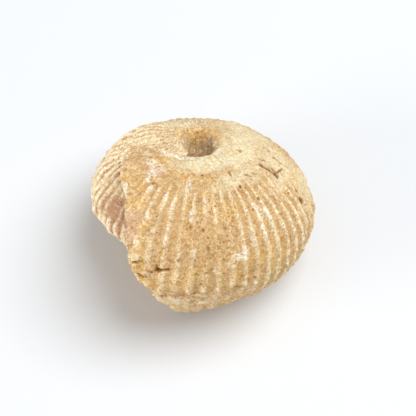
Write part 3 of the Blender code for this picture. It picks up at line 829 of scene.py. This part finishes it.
def stone_material(colours):
    """Weathered limestone: pale worn ribs, tan ground, stains, crust, pores and pits, and some
    painted light, shade, shadow, highlights and glints.
    """
    material, shader, make = new_material("weathered limestone")
    links = material.node_tree.links

    # Patterns: place is in metres, and growth follows the ribs
    place = make.node("ShaderNodeTexCoord", output=3)
    growth = make.node("ShaderNodeAttribute", {"attribute_name": "growth"}, output=1)
    broad = make.grain(place, 0.012)
    patches = make.grain(place, 0.0042, 3.0, 0.6)
    blotches = make.grain(place, 0.0019, 3.0, 0.6, twist=0.8)
    speckle = make.grain(place, 0.0009, 3.0, 0.75, twist=0.8)
    grit = make.grain(place, 0.00038, 1.0, 0.6)
    streaks = make.grain(growth, 0.0011, 3.0, 0.6, stretch=(1.0, 0.22, 1.0))
    striae = make.grain(growth, 0.0007, 2.0, 0.6, stretch=(1.0, 0.14, 1.0))
    crystals = make.cells(place, 0.00055, output=1)
    rib, groove, old, worn, hollow, fracture, cream, pink, funnel = map(make.mask, (
        "rib", "groove", "old", "worn", "hollow", "fracture", "cream", "pink", "funnel"))
    wall = funnel.span(0.40, 0.62)
    gaps = (1 - make.grain(place, 0.0007, 2.0, 0.7, twist=1.2).span(0.30, 0.38)) * (1 - 0.7 * cream)
    pore_gate = make.grain(place, 0.0034, 2.0).span(0.46, 0.60)
    pores = (1 - make.cells(place, 0.0018).span(0.10, 0.30)) * pore_gate * (1 - 0.7 * cream)

    # Ground, ribs and grooves
    colour = (0.5 * patches.span(0.35, 0.7) * broad.span(0.35, 0.65)).blend(
        colours.ground, colours.gold)
    colour = (0.5 * speckle.span(0.50, 0.66)).blend(colour, colours.crest)
    crust = 0.22 + 0.8 * streaks.span(0.34, 0.56) * (0.4 + 0.6 * speckle.span(0.34, 0.54))
    colour = (rib.span(0.15, 0.8) * crust).blend(colour, colours.crest)
    colour = (0.7 * rib.span(0.5, 0.9) * streaks.span(0.5, 0.62) * speckle.span(0.5, 0.6)).blend(
        colour, colours.pale)
    colour = (old * (1 - groove) * (0.5 + streaks)).blend(colour, colours.crest)
    colour = (0.6 * old * rib.span(0.5, 0.9)).blend(colour, colours.pale)
    colour = (0.28 * groove * streaks.span(0.3, 0.55) * (1 - old)).blend(colour, colours.brown)
    colour = (groove * streaks.span(0.3, 0.55) * old).blend(colour, colours.russet)

    # Stains and smooth stone, with a painted shadow beside the broken end, painted shade on the
    # front and painted light on the low band
    colour = (0.75 * make.mask("gold") * striae.span(0.35, 0.6)).blend(colour, colours.gold)
    colour = (cream * (0.45 + 0.7 * striae)).blend(colour, colours.cream)
    colour = (0.5 * cream * (1 - streaks.span(0.40, 0.50))).blend(colour, colours.gold)
    colour = (0.6 * worn * blotches.span(0.52, 0.60)).blend(colour, colours.crest)
    colour = ((0.3 + 0.2 * worn) * (1 - blotches.span(0.36, 0.46)) * (1 - 0.75 * cream)).blend(
        colour, colours.brown)
    # Pink stains, and on the older whorl beside the broken end a painted shadow
    colour = (pink * (0.5 + 0.35 * blotches) * (1 - 0.5 * old * rib)).blend(colour, colours.pink)
    # Russet between the ribs there, partly painted shadow
    colour = (0.9 * pink * old * (1 - rib.span(0.35, 0.75)) * streaks.span(0.36, 0.46)).blend(
        colour, colours.russet)
    # Brown stains, and painted shade on the front of the last whorl
    colour = (make.mask("stain_and_shade") * speckle.span(0.35, 0.62) * 0.7).blend(colour, colours.brown)
    # Paler worn band near the floor, partly painted light on the down-facing stone
    colour = (0.4 * make.mask("low_band") * blotches.span(0.46, 0.62)).blend(colour, colours.crest)

    # White crust on the flank, and white crust with a painted highlight along the broken edge
    colour = (make.mask("pale") * speckle.span(0.28, 0.55)).blend(colour, colours.pale)
    # White crust and painted highlight along the broken edge
    colour = (0.8 * make.mask("edge")).blend(colour, colours.pale)

    # Wall and lip of the umbilicus, with painted glints on the wall and a painted highlight along
    # the lip
    colour = (0.3 * funnel.span(0.2, 0.5) * striae.span(0.35, 0.6)).blend(colour, colours.gold)
    colour = (wall * crystals.span(0.08, 0.16)).blend(colour, colours.crest)
    colour = (wall * striae.span(0.48, 0.54)).blend(colour, colours.crest)
    colour = (0.7 * wall * (1 - striae.span(0.38, 0.44))).blend(colour, colours.brown)
    # Painted glints on single crystals of the wall
    colour = (wall * crystals.span(0.84, 0.86)).blend(colour, colours.pale)
    # White crust and painted glints on the wall
    colour = (make.mask("wall_crust_and_glints") * striae.span(0.46, 0.54)).blend(colour, colours.pale)
    # Painted highlight along the lip
    colour = (0.85 * make.mask("lip") * speckle.span(0.25, 0.55)).blend(colour, colours.pale)

    # Gaps, specks and pores, painted shade in pits and cracks that deepens with their depth, and
    # the broken end
    specks = (1 - make.cells(place, 0.00045, output=1).span(0.08, 0.12)) * patches.span(0.34, 0.56)
    colour = (0.6 * gaps).blend(colour, colours.brown)
    colour = (0.8 * specks * (1 - 0.6 * cream)).blend(colour, colours.shade)
    colour = (0.6 * pores).blend(colour, colours.brown)
    # Painted shade in pits and cracks: brown on their slopes, dark brown deep in them
    colour = (0.7 * hollow.span(0.1, 0.4)).blend(colour, colours.brown)
    colour = (0.85 * hollow.span(0.5, 1.1)).blend(colour, colours.shade)
    colour = (0.5 * fracture * patches.span(0.35, 0.65)).blend(colour, colours.russet)

    # Grain: light and dark crystals, with the blue varied most and the red least
    grain = (1.2 * grit + 0.6 * crystals - 0.88) * (1 - 0.35 * cream)
    shade = make.node("ShaderNodeCombineColor",
                      inputs={"Red": 1 + 0.65 * grain, "Green": 1 + grain, "Blue": 1 + 1.5 * grain})
    settings = {"data_type": 'RGBA', "blend_type": 'MULTIPLY', "clamp_result": True}
    colour = make.node("ShaderNodeMix", settings, {0: 1.0, 6: colour, 7: shade}, output=2)
    links.new(colour.socket, shader.inputs["Base Color"])
    links.new((0.70 + 0.25 * speckle).socket, shader.inputs["Roughness"])
    shader.inputs["Specular IOR Level"].default_value = 0.3

    height = 0.7 * speckle + 0.6 * grit + 0.25 * crystals + 0.5 * streaks * rib
    height = height + 0.5 * striae * wall + 0.6 * fracture * grit + 0.4 * worn * patches
    height = height - 0.9 * gaps - 0.9 * pores
    bump = make.node("ShaderNodeBump",
                     inputs={"Strength": 0.65, "Distance": 0.00032, "Height": height})
    links.new(bump.socket, shader.inputs["Normal"])
    return material


def floor_material(colour):
    material, shader, make = new_material("pale floor")
    cloud = make.grain(make.node("ShaderNodeTexCoord", output=3), 0.02)
    shader.inputs["Base Color"].default_value = colour
    material.node_tree.links.new((0.6 + 0.1 * cloud).socket, shader.inputs["Roughness"])
    shader.inputs["Specular IOR Level"].default_value = 0.2
    return material


def new_object(name, data):
    thing = bpy.data.objects.new(name, data)
    bpy.context.scene.collection.objects.link(thing)
    return thing


def add_lamp(name, place, width, power):
    """A round soft lamp that points at the fossil."""
    lamp = bpy.data.lights.new(name, 'AREA')
    lamp.shape = 'DISK'
    lamp.size = width
    lamp.energy = power
    thing = new_object(name, lamp)
    thing.location = place
    thing.rotation_euler = (Vector(LAMP_TARGET) - Vector(place)).to_track_quat('-Z', 'Y').to_euler()


class AMMONITE_OT_make_fossil(Operator):
    """Makes the fossil in place of the plain solid"""
    bl_idname = "ammonite.make_fossil"
    bl_label = "Make the fossil"

    def execute(self, context):
        scene = context.scene
        mesh = shell_mesh(scene.ammonite_sizes)
        close_mesh(mesh)
        mesh.materials.append(stone_material(scene.ammonite_colours))
        fossil = new_object("ammonite_stone", mesh)
        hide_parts("ammonite")
        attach(fossil, "root")
        return {'FINISHED'}


class AMMONITE_OT_set_stage(Operator):
    """Lays the floor and sets up the lights and the camera"""
    bl_idname = "ammonite.set_stage"
    bl_label = "Set the stage"

    def execute(self, context):
        scene = context.scene
        stage = scene.ammonite_stage
        floor_mesh = bpy.data.meshes.new("floor")
        flat = bmesh.new()
        bmesh.ops.create_grid(flat, x_segments=1, y_segments=1, size=FLOOR_REACH)
        flat.to_mesh(floor_mesh)
        flat.free()
        floor_mesh.materials.append(floor_material(stage.floor_colour))
        floor = new_object("floor", floor_mesh)

        add_lamp("key lamp", KEY_LAMP_PLACE, KEY_LAMP_WIDTH, stage.key_power)
        add_lamp("fill lamp", FILL_LAMP_PLACE, FILL_LAMP_WIDTH, stage.fill_power)
        world = bpy.data.worlds.new("studio")
        world.use_nodes = True
        sky = world.node_tree.nodes["Background"]
        sky.inputs["Color"].default_value = SKY_COLOUR
        sky.inputs["Strength"].default_value = stage.sky
        scene.world = world
        scene.view_settings.view_transform = 'Standard'

        lens = bpy.data.cameras.new("camera")
        lens.lens = stage.lens
        lens.sensor_width = 36
        lens.clip_start, lens.clip_end = 0.01, 20
        camera = new_object("camera", lens)
        up = stage.camera_elevation
        back = Vector((0, -cos(up), sin(up)))
        step = Vector((stage.camera_right, stage.camera_up * sin(up), stage.camera_up * cos(up)))
        camera.location = Vector(COIL_CENTRE) + back * stage.camera_distance + step
        camera.rotation_euler = (pi / 2 - up, 0, 0)
        scene.camera = camera
        return {'FINISHED'}


class AMMONITE_PT_panel(Panel):
    """Sizes, colours and stage of the ammonite"""
    bl_idname = "AMMONITE_PT_panel"
    bl_label = "Ammonite"
    bl_space_type = 'VIEW_3D'
    bl_region_type = 'UI'
    bl_category = "Ammonite"

    def draw(self, context):
        for settings in (context.scene.ammonite_sizes, context.scene.ammonite_colours,
                         context.scene.ammonite_stage):
            box = self.layout.box()
            for name in settings.__annotations__:
                box.prop(settings, name)
        self.layout.operator(AMMONITE_OT_make_fossil.bl_idname)
        self.layout.operator(AMMONITE_OT_set_stage.bl_idname)


CLASSES = (StoneSizes, StoneColours, StageSettings, AMMONITE_OT_make_fossil, AMMONITE_OT_set_stage,
           AMMONITE_PT_panel)


def register():
    for item in CLASSES:
        bpy.utils.register_class(item)
    bpy.types.Scene.ammonite_sizes = PointerProperty(type=StoneSizes)
    bpy.types.Scene.ammonite_colours = PointerProperty(type=StoneColours)
    bpy.types.Scene.ammonite_stage = PointerProperty(type=StageSettings)


def unregister():
    del bpy.types.Scene.ammonite_stage
    del bpy.types.Scene.ammonite_colours
    del bpy.types.Scene.ammonite_sizes
    for item in reversed(CLASSES):
        bpy.utils.unregister_class(item)


def main():
    register()
    bpy.ops.ammonite.make_fossil()
    bpy.ops.ammonite.set_stage()


if __name__ == "__main__":
    main()
